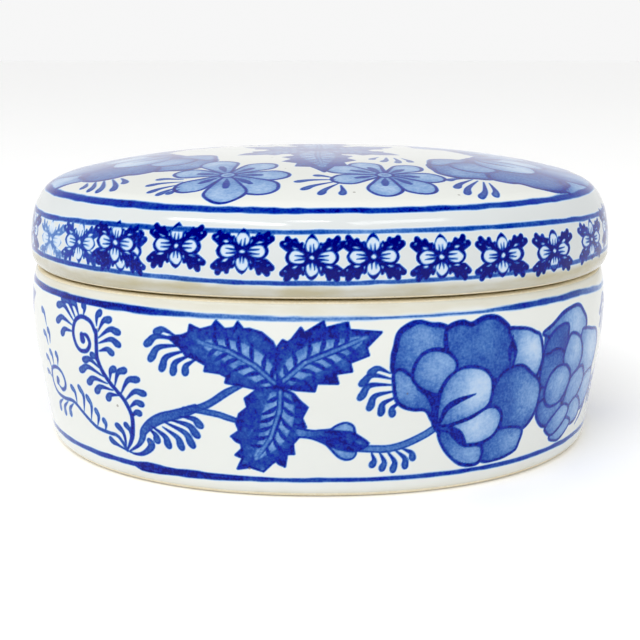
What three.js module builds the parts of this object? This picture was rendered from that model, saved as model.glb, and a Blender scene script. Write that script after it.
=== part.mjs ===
// An oval porcelain trinket box: a base with an inner locating lip, and a domed lid that lifts off it.
// Millimetres, +Z up. The origin is the middle of the foot's flat face, and X runs along the oval.
import * as THREE from 'three';

// Driving dimensions. Every radius is measured along X, on the oval's long half-axis.
const HALF_LENGTH = 60.5;
const HALF_WIDTH = 51.4;
const OVAL_POWER = 2.15; // 2 is a true ellipse, and a little more fills out its shoulders
const SEAT_HEIGHT = 36; // the base's flat ring that carries the lid
const SEAT_GAP = 0.3; // between the seat and the lid's rim
const WALL = 3.5;
const ROUND_STEPS = 64; // sides of the oval
const CURVE_STEPS = 4; // chords on each rounded stretch of a profile

// Base
const FOOT_OUTER = 56.2;
const FOOT_INNER = 52.4;
const FOOT_RECESS = 1.2;
const HEEL_RADIUS = 58; // where the rounded heel meets the wall
const HEEL_HEIGHT = 2;
const HEEL_TURN_RADIUS = 57.75; // where the tangents of the heel's two ends cross, on the ground
const TAPER_RADIUS = 59.7; // where the straight taper turns into the belly
const TAPER_HEIGHT = 16;
const BELLY_HEIGHT = 26.5; // the base is widest here
const EDGE_RADIUS = 59.4; // the outer edge under the lid
const EDGE_ROUND = 0.6;
const EDGE_TURN_RADIUS = 59.25; // where the tangents of that edge cross, level with the seat
const SEAT_RADIUS = 58.2; // the flat seat's outer limit
const LIP_OUTER = 56.6;
const LIP_THICKNESS = 1.9;
const LIP_RISE = 3.6;
const FLOOR_HEIGHT = 4.7; // the cavity's floor
const CAVITY_ROUND = 4;

// Lid
const LID_RADIUS = 60.3;
const LID_WALL = 3;
const LID_EDGE_RADIUS = 59.1;
const LID_EDGE_ROUND = 2.4;
const BAND_WIDEST = 4; // height above the rim where the band is widest
const BAND_TOP = 11; // height above the rim where the band rounds into the shoulder
const BAND_TOP_RADIUS = 59.3;
const SHOULDER_RADIUS = 53.3; // the shoulder ends and the dome starts here
const SHOULDER_RISE = 17.1; // above the rim
const SHOULDER_TURN = [57.8, 15.9]; // where the two ends' tangents cross: radius, height above the rim
const DOME_RISE = 4.5; // from the shoulder's end to the crown
const DOME_POWER = 3;
const DOME_STEPS = 7;
const DOME_THICKNESS = 3.2;

const rimHeight = SEAT_HEIGHT + SEAT_GAP;

// Turns a profile of (radius, height) points into a closed solid with an oval plan.
function ovalSolid(profile) {
  const geometry = new THREE.LatheGeometry(profile, ROUND_STEPS);
  geometry.rotateX(Math.PI / 2);
  const position = geometry.attributes.position;
  for (let i = 0; i < position.count; i += 1) {
    const x = position.getX(i);
    const y = position.getY(i);
    const powerSum = Math.abs(x) ** OVAL_POWER + Math.abs(y) ** OVAL_POWER;
    const stretch = powerSum > 0 ? Math.hypot(x, y) / powerSum ** (1 / OVAL_POWER) : 1;
    position.setX(i, x * stretch);
    position.setY(i, (y * stretch * HALF_WIDTH) / HALF_LENGTH);
  }
  geometry.computeVertexNormals();
  return geometry;
}

// Heights on a dome: flat at the crown, steeper towards its edge.
function domePoints(edgeRadius, edgeHeight, rise) {
  const points = [];
  for (let step = 0; step <= DOME_STEPS; step += 1) {
    const share = step / DOME_STEPS;
    points.push(new THREE.Vector2(share * edgeRadius, edgeHeight + rise * (1 - share ** DOME_POWER)));
  }
  return points;
}

// From the underside's middle round the foot, up the outside, over the lip and down to the cavity's floor.
function baseProfile() {
  const lipInner = LIP_OUTER - LIP_THICKNESS;
  const lipTop = SEAT_HEIGHT + LIP_RISE;
  const swellHeight = (TAPER_HEIGHT + BELLY_HEIGHT) / 2;
  const cornerRadius = HEEL_RADIUS - WALL;
  const path = new THREE.Path();
  path.moveTo(0, FOOT_RECESS);
  path.lineTo(FOOT_INNER - FOOT_RECESS, FOOT_RECESS);
  path.lineTo(FOOT_INNER, 0);
  path.lineTo(FOOT_OUTER, 0);
  path.quadraticCurveTo(HEEL_TURN_RADIUS, 0, HEEL_RADIUS, HEEL_HEIGHT);
  path.lineTo(TAPER_RADIUS, TAPER_HEIGHT);
  path.quadraticCurveTo(HALF_LENGTH, swellHeight, HALF_LENGTH, BELLY_HEIGHT);
  path.quadraticCurveTo(HALF_LENGTH, SEAT_HEIGHT - WALL, EDGE_RADIUS, SEAT_HEIGHT - EDGE_ROUND);
  path.quadraticCurveTo(EDGE_TURN_RADIUS, SEAT_HEIGHT, SEAT_RADIUS, SEAT_HEIGHT);
  path.lineTo(LIP_OUTER, SEAT_HEIGHT);
  path.lineTo(LIP_OUTER, lipTop - EDGE_ROUND);
  path.lineTo(LIP_OUTER - EDGE_ROUND, lipTop);
  path.lineTo(lipInner + EDGE_ROUND, lipTop);
  path.lineTo(lipInner, lipTop - EDGE_ROUND);
  path.lineTo(lipInner, SEAT_HEIGHT);
  path.quadraticCurveTo(lipInner, SEAT_HEIGHT - WALL, HALF_LENGTH - WALL, BELLY_HEIGHT);
  path.lineTo(TAPER_RADIUS - WALL, TAPER_HEIGHT);
  path.lineTo(cornerRadius, FLOOR_HEIGHT + CAVITY_ROUND);
  path.quadraticCurveTo(cornerRadius, FLOOR_HEIGHT, cornerRadius - CAVITY_ROUND, FLOOR_HEIGHT);
  path.lineTo(0, FLOOR_HEIGHT);
  return path.getPoints(CURVE_STEPS);
}

// From the crown's inside down to the rim, and back over the band, shoulder and dome to its outside.
function lidProfile() {
  const shoulderHeight = rimHeight + SHOULDER_RISE;
  const [turnRadius, turnRise] = SHOULDER_TURN;
  const turnHeight = rimHeight + turnRise;
  const bandTop = rimHeight + BAND_TOP;
  const bandMiddle = rimHeight + (BAND_WIDEST + BAND_TOP) / 2;
  const edgeTop = rimHeight + LID_EDGE_ROUND;
  const innerShoulder = SHOULDER_RADIUS - LID_WALL / 2;
  const innerWall = LID_RADIUS - LID_WALL;
  const bandTopInside = BAND_TOP_RADIUS - LID_WALL;

  const inside = domePoints(innerShoulder, shoulderHeight - DOME_THICKNESS, DOME_RISE);
  const innerSide = new THREE.Path();
  innerSide.moveTo(innerShoulder, shoulderHeight - DOME_THICKNESS);
  innerSide.quadraticCurveTo(turnRadius - LID_WALL / 2, turnHeight - LID_WALL, bandTopInside, bandTop);
  innerSide.lineTo(innerWall, rimHeight + BAND_WIDEST);
  innerSide.lineTo(innerWall, rimHeight + EDGE_ROUND);
  innerSide.lineTo(innerWall + EDGE_ROUND / 2, rimHeight);

  const outerSide = new THREE.Path();
  outerSide.moveTo(LID_EDGE_RADIUS - EDGE_ROUND, rimHeight);
  outerSide.quadraticCurveTo(LID_EDGE_RADIUS + EDGE_ROUND, rimHeight, LID_RADIUS, edgeTop);
  outerSide.lineTo(LID_RADIUS, rimHeight + BAND_WIDEST);
  outerSide.quadraticCurveTo(LID_RADIUS, bandMiddle, BAND_TOP_RADIUS, bandTop);
  outerSide.quadraticCurveTo(turnRadius, turnHeight, SHOULDER_RADIUS, shoulderHeight);
  const outside = domePoints(SHOULDER_RADIUS, shoulderHeight, DOME_RISE).reverse();

  return [
    ...inside,
    ...innerSide.getPoints(CURVE_STEPS).slice(1),
    ...outerSide.getPoints(CURVE_STEPS),
    ...outside.slice(1),
  ];
}

function porcelain(color) {
  return new THREE.MeshStandardMaterial({ color, roughness: 0.12, metalness: 0 });
}

function piece(name, profile, color) {
  const mesh = new THREE.Mesh(ovalSolid(profile), porcelain(color));
  mesh.name = name;
  return mesh;
}

const box = new THREE.Group();
box.add(piece('base', baseProfile(), 0xf1f3f5));
box.add(piece('lid', lidProfile(), 0xf4f6f8));

export default box;
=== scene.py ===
"""An oval blue-and-white porcelain trinket box: a base with a locating lip, and a domed lid that lifts off.

The bare porcelain is two closed bodies. The glaze is a thin raised skin on each glazed stretch of them. The
cobalt decoration is brushed onto flat canvases, in mm, and carried over to the skins as an amount of ink.
Lengths are millimetres until a mesh is built, and +Z is up. The front is the -Y side."""

import math

import bpy
import numpy as np
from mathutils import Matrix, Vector


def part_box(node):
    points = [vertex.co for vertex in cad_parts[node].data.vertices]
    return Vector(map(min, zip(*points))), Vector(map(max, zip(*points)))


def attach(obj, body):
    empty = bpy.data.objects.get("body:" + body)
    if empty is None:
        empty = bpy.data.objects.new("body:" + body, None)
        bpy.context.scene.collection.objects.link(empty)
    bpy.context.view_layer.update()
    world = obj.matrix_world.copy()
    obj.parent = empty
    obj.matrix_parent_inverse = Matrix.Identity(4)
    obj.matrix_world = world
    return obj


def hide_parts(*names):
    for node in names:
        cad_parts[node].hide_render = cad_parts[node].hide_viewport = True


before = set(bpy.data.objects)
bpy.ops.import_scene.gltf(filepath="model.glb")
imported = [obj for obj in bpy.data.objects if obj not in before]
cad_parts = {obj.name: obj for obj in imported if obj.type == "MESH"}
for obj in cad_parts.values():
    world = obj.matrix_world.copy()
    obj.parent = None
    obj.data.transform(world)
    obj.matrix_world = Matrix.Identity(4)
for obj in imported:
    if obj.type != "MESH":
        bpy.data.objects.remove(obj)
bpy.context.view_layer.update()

MM = 0.001
base_high = np.array(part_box("base")[1]) / MM
lid_low, lid_high = (np.array(corner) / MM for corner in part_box("lid"))

# The box's form. Radii are measured along X, on the oval's long half-axis.
HALF_LENGTH = base_high[0]
WIDTH_SHARE = base_high[1] / base_high[0]
OVAL_POWER = 2.15  # 2 would be an ellipse, and more is squarer
LIP_TOP = base_high[2]
LIP_HEIGHT = 3.6
SEAT = LIP_TOP - LIP_HEIGHT
LIP_OUTER = 56.6
LIP_INNER = 54.7
LIP_ROUNDING = 0.6
BELLY = 26.5  # height at which the base is widest
TAPER_TOP = 16  # the wall is straight below this height
FOOT_OUTER = 56.2
FOOT_INNER = 52.4
FOOT_RECESS = 1.2
FLOOR = 4.7
RIM = lid_low[2]
RIM_INNER = 57.3
RIM_OUTER = 58.5
BAND_TOP = RIM + 11  # the lid's shoulder starts here
CROWN = lid_high[2]
DOME_RISE = 4.5
DOME_RADIUS = 53.3
DOME_EDGE = CROWN - DOME_RISE
LID_LEAN = 0.25  # the hand-made lid sits this far towards +X
EDGE_BOW = 0.8  # and its lower edge is this much higher at the front and back than at the ends
SEAT_BOW = 0.7  # as the base's seat is
SHARP = 40  # degrees: a bare edge that turns more than this is left sharp
GLAZE = 0.14  # thickness of the glaze
GLAZE_ROLL = 0.7  # the glaze thins out over this much at its edges
GLAZE_SINK = 0.3  # and ends this share of its thickness below the surface
DOME_LINE_RADIUS = 56.4  # the middle of the ring line where the dome's glaze takes over from the band's

SWEEP = 0.93  # brightness of the world at the horizon
CEILING = 0.6  # and high above it
OVERHEAD = 0.31  # brightness that the overhead light gives a white floor

SKIN_QUARTER = 450  # columns in a quarter of a painted skin, about 0.2 mm apart
BODY_QUARTER = 90
SKIN_STEP = 0.2
BODY_STEP = 0.6
CLEAR_STEP = 0.5  # profile steps of the unpainted skins
CANVAS_PITCH = 0.1
SOFT_EDGE = 0.15  # a brush mark fades out over twice this
FRONT = -math.pi / 2  # lathe angle of the middle of the front
BLACK_POINT = 0.027  # a little contrast, as a product photograph has


# ---------------------------------------------------------------- the oval

def oval(angle):
    """The oval of half length 1 at some lathe angles."""
    c, s = np.cos(angle), np.sin(angle)
    stretch = (np.abs(c) ** OVAL_POWER + np.abs(s) ** OVAL_POWER) ** (-1 / OVAL_POWER)
    return np.stack([c * stretch, s * stretch * WIDTH_SHARE], -1)


def lengths(points):
    """How far along a line of points each of them is."""
    return np.concatenate([[0.0], np.cumsum(np.hypot(*np.diff(points, axis=0).T))])


girth_angles = np.linspace(FRONT - math.pi, FRONT + math.pi, 7201)
girth_table = lengths(HALF_LENGTH * oval(girth_angles))
GIRTH = girth_table[-1]


def girth(angle):
    """Mm along the box's widest girth from the middle of the front, positive to the right."""
    turned = (angle - girth_angles[0]) % (2 * math.pi) + girth_angles[0]
    return np.interp(turned, girth_angles, girth_table) - GIRTH / 2


# ---------------------------------------------------------------- profiles: (radius, height)

def bend(start, control, end, steps=16):
    t = np.linspace(0, 1, steps + 1)[:, None]
    a, b, c = (np.array(p, float) for p in (start, control, end))
    return (1 - t) ** 2 * a + 2 * t * (1 - t) * b + t**2 * c


def chain(*parts):
    """Points and stretches of points, end to end, without repeats."""
    points = np.vstack([np.atleast_2d(np.array(part, float)) for part in parts])
    keep = np.concatenate([[True], np.hypot(*np.diff(points, axis=0).T) > 1e-6])
    return points[keep]


def flat(height):
    """The formula of a level disc."""
    return lambda radius: np.full(np.shape(radius), float(height))


def base_outside():
    return chain(
        bend((FOOT_OUTER, 0), (57.75, 0), (58, 2)),
        bend((59.7, TAPER_TOP), (HALF_LENGTH, 21.25), (HALF_LENGTH, BELLY)),
        bend((HALF_LENGTH, BELLY), (HALF_LENGTH, SEAT - 3.5), (59.4, SEAT - 0.6)),
        bend((59.4, SEAT - 0.6), (59.25, SEAT), (58.2, SEAT), 6),
    )


def base_lip():
    rounding = LIP_TOP - LIP_ROUNDING
    return chain(
        (LIP_OUTER, SEAT),
        bend((LIP_OUTER, rounding), (LIP_OUTER, LIP_TOP), (LIP_OUTER - LIP_ROUNDING, LIP_TOP), 4),
        bend((LIP_INNER + LIP_ROUNDING, LIP_TOP), (LIP_INNER, LIP_TOP), (LIP_INNER, rounding), 4),
    )


def base_inside():
    return chain(
        (LIP_INNER, LIP_TOP - LIP_ROUNDING),
        bend((LIP_INNER, SEAT), (LIP_INNER, SEAT - 3.5), (57, BELLY)),
        (56.2, TAPER_TOP),
        bend((54.5, FLOOR + 4), (54.5, FLOOR), (50.5, FLOOR), 10),
    )


def lid_inside():
    inner_edge = (DOME_RADIUS - 1.5, DOME_EDGE - 3.2)
    return chain(
        bend(inner_edge, (56.3, DOME_EDGE - 4.4), (56.3, BAND_TOP)),
        (RIM_INNER, RIM + 4),
        (RIM_INNER, RIM + 0.6),
    )


def lid_outside():
    return chain(
        bend((RIM_OUTER, RIM), (59.7, RIM), (60.3, RIM + 2.4)),
        bend((60.3, RIM + 4), (60.3, RIM + 7.5), (59.3, BAND_TOP)),
        bend((59.3, BAND_TOP), (57.8, RIM + 15.9), (DOME_RADIUS, DOME_EDGE)),
    )


def dome_height(radius):
    return DOME_EDGE + DOME_RISE * (1 - np.clip(radius / DOME_RADIUS, 0, None) ** 3)


def respaced(profile, step=SKIN_STEP):
    along = lengths(profile)
    even = np.linspace(0, along[-1], max(2, math.ceil(along[-1] / step) + 1))
    return np.stack([np.interp(even, along, column) for column in profile.T], -1)


def outward(profile):
    """Unit normals of a profile that is walked from the underside up and over."""
    slope = np.gradient(profile, axis=0)
    slope /= np.hypot(*slope.T)[:, None]
    return np.stack([slope[:, 1], -slope[:, 0]], -1)


def raised(profile, first_edge=True, last_edge=True):
    """A profile lifted by the glaze's thickness. At its free edges it thins and dips into the porcelain."""
    along = lengths(profile)
    thickness = np.full(len(profile), GLAZE)
    for free, distance in ((first_edge, along), (last_edge, along[-1] - along)):
        if free:
            share = np.clip(distance / GLAZE_ROLL, 0, 1)
            thickness *= np.sqrt(1 - (1 - share) ** 2) * (1 + GLAZE_SINK) - GLAZE_SINK
    return profile + outward(profile) * thickness[:, None]


# ---------------------------------------------------------------- meshes

class Surface:
    """Points of a turned oval surface with its quads: rings along a profile, and a disc on either end of it.
    A disc's height comes from a formula of its radius."""

    def __init__(self, profile, quarter, first_disc=None, last_disc=None):
        self.columns = 4 * quarter
        self.points, self.angles, self.quads = [], [], []
        self.count = 0
        ring_angles = -math.pi / 4 + np.arange(self.columns) * (math.pi / 2 / quarter)
        place = oval(ring_angles)
        radii, heights = profile.T
        rings = np.empty((len(profile), self.columns, 3))
        rings[..., :2] = radii[:, None, None] * place
        rings[..., 2] = heights[:, None]
        numbers = self._add(rings.reshape(-1, 3), np.tile(ring_angles, len(profile)))
        numbers = numbers.reshape(len(profile), self.columns)
        beyond = np.roll(numbers, -1, axis=1)
        self._face(numbers[:-1], beyond[:-1], beyond[1:], numbers[1:])
        if first_disc:
            self._disc(quarter, radii[0], first_disc, numbers[0], downward=True)
        if last_disc:
            self._disc(quarter, radii[-1], last_disc, numbers[-1], downward=False)
        self.points = np.vstack(self.points)
        self.angles = np.concatenate(self.angles)
        self.quads = np.vstack(self.quads)

    def _add(self, points, angles):
        first = self.count
        self.points.append(points)
        self.angles.append(angles)
        self.count += len(points)
        return np.arange(first, self.count)

    def _face(self, *corners):
        self.quads.append(np.stack([c.ravel() for c in corners], -1))

    def _disc(self, quarter, radius, height, edge, downward):
        """Fills a ring with a square grid bent to the oval, so that its cells stay about the same size."""
        a, b = np.meshgrid(np.linspace(-1, 1, quarter + 1), np.linspace(-1, 1, quarter + 1), indexing="ij")
        sideways = np.abs(a) >= np.abs(b)
        longer = np.where(sideways, a, b)
        ratio = np.where(sideways, b, a) / np.where(longer == 0, 1, longer)
        angle = np.where(sideways, math.pi / 4 * ratio, math.pi / 2 - math.pi / 4 * ratio)
        angle = np.where(longer < 0, angle + math.pi, angle)
        share = np.abs(longer)
        place = oval(angle)
        points = np.empty(a.shape + (3,))
        points[..., :2] = (radius * share)[..., None] * place
        points[..., 2] = height(radius * share)
        numbers = np.full(a.shape, -1)
        border = np.concatenate([
            [(quarter, j) for j in range(quarter)],
            [(quarter - i, quarter) for i in range(quarter)],
            [(0, quarter - j) for j in range(quarter)],
            [(i, 0) for i in range(quarter)],
        ])
        numbers[border[:, 0], border[:, 1]] = edge
        inner = numbers < 0
        numbers[inner] = self._add(points[inner], angle[inner])
        corners = [numbers[:-1, :-1], numbers[1:, :-1], numbers[1:, 1:], numbers[:-1, 1:]]
        self._face(*(corners[::-1] if downward else corners))


def add_object(name, data, place=(0, 0, 0)):
    thing = bpy.data.objects.new(name, data)
    thing.location = place
    bpy.context.scene.collection.objects.link(thing)
    return thing


def build(name, surface, sharp_angle=None, ink=None, cream=None):
    """A mesh object from a surface, with the paint on it as attributes."""
    mesh = bpy.data.meshes.new(name)
    quads = surface.quads
    mesh.vertices.add(len(surface.points))
    mesh.vertices.foreach_set("co", (surface.points * MM).astype(np.float32).ravel())
    mesh.loops.add(quads.size)
    mesh.loops.foreach_set("vertex_index", quads.astype(np.int32).ravel())
    mesh.polygons.add(len(quads))
    mesh.polygons.foreach_set("loop_start", np.arange(0, quads.size, 4, dtype=np.int32))
    mesh.update(calc_edges=True)
    mesh.shade_smooth()
    if sharp_angle:
        mesh.set_sharp_from_angle(angle=math.radians(sharp_angle))
    for label, values in (("ink", ink), ("cream", cream)):
        if values is not None:
            attribute = mesh.attributes.new(label, "FLOAT", "POINT")
            attribute.data.foreach_set("value", values.astype(np.float32))
    return add_object(name, mesh)


# ---------------------------------------------------------------- brushes and canvases

def smoothstep(x):
    x = np.clip(x, 0, 1)
    return x * x * (3 - 2 * x)


def flowing(points, closed=False, step=0.3):
    """A smooth curve through some points, about step mm apart. Any further columns, such as a width, are
    carried along."""
    points = np.asarray(points, float)
    if closed:
        padded = np.vstack([points[-1], points, points[:2]])
    else:
        padded = np.vstack([2 * points[0] - points[1], points, 2 * points[-1] - points[-2]])
    stretches = []
    for a, b, c, d in zip(padded, padded[1:], padded[2:], padded[3:]):
        steps = max(2, math.ceil(np.hypot(*(c - b)[:2]) / step))
        t = np.linspace(0, 1, steps, endpoint=False)[:, None]
        stretches.append(
            0.5 * (2 * b + (c - a) * t + (2 * a - 5 * b + 4 * c - d) * t**2 + (3 * b - a - 3 * c + d) * t**3)
        )
    if not closed:
        stretches.append(points[-1:])
    return np.vstack(stretches)


class Canvas:
    """A sheet of ink amounts laid over a surface, u across it and v up it, in mm. 0 is bare white and 1 is
    the deepest cobalt. A wrapped canvas joins up round the box. Marks are placed by a shift, a turn and a
    size."""

    def __init__(self, u_range, v_range, wrapped=False):
        self.low = np.array([u_range[0], v_range[0]], float)
        span = np.array([u_range[1] - u_range[0], v_range[1] - v_range[0]])
        self.columns, self.rows = (int(n) for n in np.round(span / CANVAS_PITCH))
        self.pitch = span / (self.columns, self.rows)
        self.wrapped = wrapped
        self.ink = np.zeros((self.rows, self.columns))
        self.place()

    def place(self, u=0.0, v=0.0, turn=0.0, size=1.0, mirrored=False, pin=(0, 0)):
        """Where the marks that follow go: their point at pin lands on u, v."""
        c, s = math.cos(math.radians(turn)), math.sin(math.radians(turn))
        flip = -1 if mirrored else 1
        self.turning = size * np.array([[c * flip, s * flip], [-s, c]])
        self.shift = np.array([u, v]) - np.array(pin) @ self.turning
        self.size = size

    def placed(self, points):
        points = np.array(points, float)
        points[..., :2] = points[..., :2] @ self.turning + self.shift
        points[..., 2:] *= self.size
        return points

    def window(self, points, margin):
        """The cells around some points, and where those cells are."""
        low = np.floor((points[:, :2].min(0) - margin - self.low) / self.pitch).astype(int)
        high = np.floor((points[:, :2].max(0) + margin - self.low) / self.pitch).astype(int)
        if not self.wrapped:
            low[0], high[0] = max(low[0], 0), min(high[0], self.columns - 1)
        columns = np.arange(low[0], high[0] + 1)
        rows = np.arange(max(low[1], 0), min(high[1], self.rows - 1) + 1)
        u, v = np.meshgrid(
            self.low[0] + (columns + 0.5) * self.pitch[0], self.low[1] + (rows + 0.5) * self.pitch[1]
        )
        return np.ix_(rows, columns % self.columns), u, v

    def lay(self, cells, cover, tone):
        """Covers what is there."""
        self.ink[cells] += cover * (tone - self.ink[cells])

    def deepen(self, cells, ink):
        """Adds to what is there, and lightens nothing."""
        self.ink[cells] = np.maximum(self.ink[cells], ink)

    def sample(self, u, v):
        """Ink at places on the surface, blended between cells."""
        x = (u - self.low[0]) / self.pitch[0] - 0.5
        y = np.clip((v - self.low[1]) / self.pitch[1] - 0.5, 0, self.rows - 1.001)
        if not self.wrapped:
            x = np.clip(x, 0, self.columns - 1.001)
        column, row = np.floor(x).astype(int), np.floor(y).astype(int)
        right, up = x - column, y - row
        near, far = column % self.columns, (column + 1) % self.columns
        lower = self.ink[row, near] * (1 - right) + self.ink[row, far] * right
        upper = self.ink[row + 1, near] * (1 - right) + self.ink[row + 1, far] * right
        return lower * (1 - up) + upper * up


CLOUD_CELLS = 997  # a cloud repeats after this many patches
CLOUD_START = 1000  # patches to the left of and below every canvas, so that no patch has a negative number


def cloud(u, v, size, seed, wrap=None):
    """Smooth random unevenness from -1 to 1, in patches of about size mm. It may repeat after a wrap of u."""
    period = CLOUD_CELLS
    if wrap:
        period = round(wrap / size)
        size = wrap / period
    x, y = u / size + CLOUD_START, v / size + CLOUD_START
    column, row = np.floor(x).astype(int), np.floor(y).astype(int)
    right, up = smoothstep(x - column), smoothstep(y - row)
    table = np.random.default_rng(seed).uniform(-1, 1, (period, CLOUD_CELLS))
    near, far = column % period, (column + 1) % period
    row, above = row % CLOUD_CELLS, (row + 1) % CLOUD_CELLS
    lower = table[near, row] * (1 - right) + table[far, row] * right
    upper = table[near, above] * (1 - right) + table[far, above] * right
    return lower * (1 - up) + upper * up


def nearest(u, v, start, end):
    """How far along a straight stretch its nearest point to some places is, as a share, and how far off."""
    du, dv = end[0] - start[0], end[1] - start[1]
    along = (u - start[0]) * du + (v - start[1]) * dv
    share = np.clip(along / max(du * du + dv * dv, 1e-9), 0, 1)
    return share, np.hypot(u - start[0] - share * du, v - start[1] - share * dv)


def brush(canvas, points, ink=0.9, pool=0.0):
    """One stroke through points of (u, v, width). Pool thins the paint in the stroke's middle."""
    line = flowing(canvas.placed(points))
    half = np.maximum(line[:, 2], 0.05) / 2
    cells, u, v = canvas.window(line, half.max() + 2 * SOFT_EDGE)
    if not u.size:
        return
    best = np.full(u.shape, np.inf)
    width = np.zeros(u.shape)
    for start, end, start_half, end_half in zip(line, line[1:], half, half[1:]):
        share, distance = nearest(u, v, start, end)
        local = start_half + share * (end_half - start_half)
        nearer = distance - local < best
        best = np.where(nearer, distance - local, best)
        width = np.where(nearer, local, width)
    cover = smoothstep(0.5 - best / (2 * SOFT_EDGE))
    middle = smoothstep(-best / 0.5) * smoothstep((width - 0.25) / 0.3)
    canvas.deepen(cells, cover * (ink - pool * middle))


def inside_distance(outline, u, v):
    """Distance to a closed outline, positive inside it."""
    distance = np.full(u.shape, np.inf)
    inside = np.zeros(u.shape, bool)
    for start, end in zip(outline, np.roll(outline, -1, axis=0)):
        distance = np.minimum(distance, nearest(u, v, start, end)[1])
        if start[1] != end[1]:
            crossing = start[0] + (v - start[1]) / (end[1] - start[1]) * (end[0] - start[0])
            inside ^= ((start[1] > v) != (end[1] > v)) & (u < crossing)
    return np.where(inside, distance, -distance)


def wash(canvas, outline, tone, light=None, light_tone=0.3, reach=6.0, edge=0.0, line=0.7, smooth=True,
         mottle=1.0):
    """An area of thin colour inside an outline. It is lightest about one place, as far as reach, and its
    brushed edge has its own ink and width."""
    curve = canvas.placed(outline)
    curve = flowing(curve, closed=True, step=0.5) if smooth else curve
    cells, u, v = canvas.window(curve, line * canvas.size)
    if not u.size:
        return
    inside = inside_distance(curve, u, v)
    depth = np.full(u.shape, float(tone))
    if light is not None:
        spot = canvas.placed(light)
        near = np.exp(-((u - spot[0]) ** 2 + (v - spot[1]) ** 2) / (reach * canvas.size) ** 2)
        depth += (light_tone - tone) * near
    depth += 0.1 * np.exp(-np.clip(inside, 0, None) / 0.7)
    depth += mottle * (0.05 * cloud(u, v, size=2.6, seed=3) + 0.045 * cloud(u, v, size=0.7, seed=4))
    canvas.lay(cells, smoothstep(0.5 + inside / (2 * SOFT_EDGE)), depth)
    if edge:
        half = line * canvas.size / 2 * (1 + 0.2 * cloud(u, v, size=3.1, seed=5))
        canvas.deepen(cells, edge * smoothstep(0.5 + (half - np.abs(inside)) / (2 * SOFT_EDGE)))


def comma(canvas, head, tail, width=1.5, ink=0.95, pool=0.24, bow=0.18):
    """A tadpole stroke: it rises from a fine tail, arches over and ends in a full round head."""
    head, tail = np.array(head, float), np.array(tail, float)
    reach = head - tail
    across = np.array([-reach[1], reach[0]])
    if across @ (0.3, 1) < 0:
        across = -across
    crest = tail + 0.62 * reach + bow * across
    cheek = crest + 0.75 * (head - crest)
    stroke = [(*tail, 0.16), (*crest, 0.66), (*cheek, 0.99), (*head, 0.8)]
    brush(canvas, [(x, y, share * width) for x, y, share in stroke], ink, pool)


def commas(canvas, ends, **look):
    """Commas from a list of (head u, head v, tail u, tail v)."""
    for head_u, head_v, tail_u, tail_v in ends:
        comma(canvas, (head_u, head_v), (tail_u, tail_v), **look)


def fan(canvas, heads, first_tail, last_tail, **look):
    """Commas side by side, their tails evenly set from the first to the last."""
    for share, head in zip(np.linspace(0, 1, len(heads)), heads):
        tail = np.array(first_tail) + share * (np.array(last_tail) - first_tail)
        comma(canvas, head, tail, **look)


def ribbon(canvas, points, width=1.0, ink=0.88, pool=0.0, tip=0.45):
    """A stem or scroll of even width that thins at its end."""
    widths = np.full(len(points), width)
    widths[-1] *= tip
    brush(canvas, [(*p, w) for p, w in zip(points, widths)], ink, pool)


def ring_line(u, v, knots, seed):
    """Ink of a line that runs right round. Each knot is its place along the girth, its middle, its thickness
    and its ink."""
    along, *columns = np.array(sorted(knots), float).T
    middle, thick, ink = (np.interp(u, along, column, period=GIRTH) for column in columns)
    middle = middle + 0.07 * cloud(u, 0 * v, 3.3, seed, GIRTH)
    thick = thick * (1 + 0.12 * cloud(u, 0 * v, 2.1, seed + 1, GIRTH))
    edge = SOFT_EDGE * 1.3
    cover = smoothstep(0.5 + (thick / 2 - np.abs(v - middle)) / (2 * edge))
    streaks = 1 + 0.1 * cloud(u * 0.12, v * 4, 1.0, seed + 2) + 0.07 * cloud(u, v, 1.5, seed + 3)
    return cover * ink * streaks


# ---------------------------------------------------------------- motifs

def wipe(canvas, start, end, width, tone, strength=0.8):
    """A soft streak where the paint lies thin."""
    ends = canvas.placed([start, end])
    half = width * canvas.size / 2
    cells, u, v = canvas.window(ends, half)
    if u.size:
        distance = nearest(u, v, *ends)[1]
        canvas.lay(cells, strength * smoothstep((half - distance) / (0.7 * half)), tone)


def leaf(canvas, outline, midrib, reach):
    """A serrated leaf in a heavy mottled wash: thinner paint about its midrib, with dark veins through it,
    and a dark stroke in each tooth. Reach is how far that thinner paint goes to each side."""
    wash(canvas, outline, 0.82, edge=0.97, line=0.5, smooth=False, mottle=2.4)
    spine = flowing(midrib)
    ahead = np.gradient(spine, axis=0)
    ahead /= np.hypot(*ahead.T)[:, None]
    aside = np.stack([-ahead[:, 1], ahead[:, 0]], -1)
    share = np.linspace(0, 1, len(spine))
    spread = reach * np.sin(math.pi * (0.14 + 0.82 * share)) * (1 - 0.3 * share)
    rim = slice(1, len(spine) - 1, 4)
    left = spine + spread[:, None] * aside
    right = spine - spread[:, None] * aside
    wash(canvas, [*left[rim], *right[rim][::-1]], 0.46, mottle=1.6)
    leaf_veins(canvas, spine, ahead, aside, spread)
    ribbon(canvas, midrib, 1.3, 0.93, tip=0.5)
    for start, end in zip(midrib, midrib[1:]):
        wipe(canvas, start, end, 0.9, 0.5, 0.9)
    leaf_teeth(canvas, np.array(outline, float), spine)


def leaf_veins(canvas, spine, ahead, aside, spread, pairs=6):
    for number in range(pairs):
        root = round((number + 0.25) / pairs * 0.86 * (len(spine) - 1))
        for side in (1, -1):
            out = (spread[root] + 0.5) * (aside[root] * side + 0.75 * ahead[root])
            start = spine[root] + 0.12 * out
            bent = spine[root] + 0.5 * out + 0.12 * spread[root] * ahead[root]
            brush(canvas, [(*start, 0.3), (*bent, 0.95), (*(spine[root] + out), 0.6)], 0.93)


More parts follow.
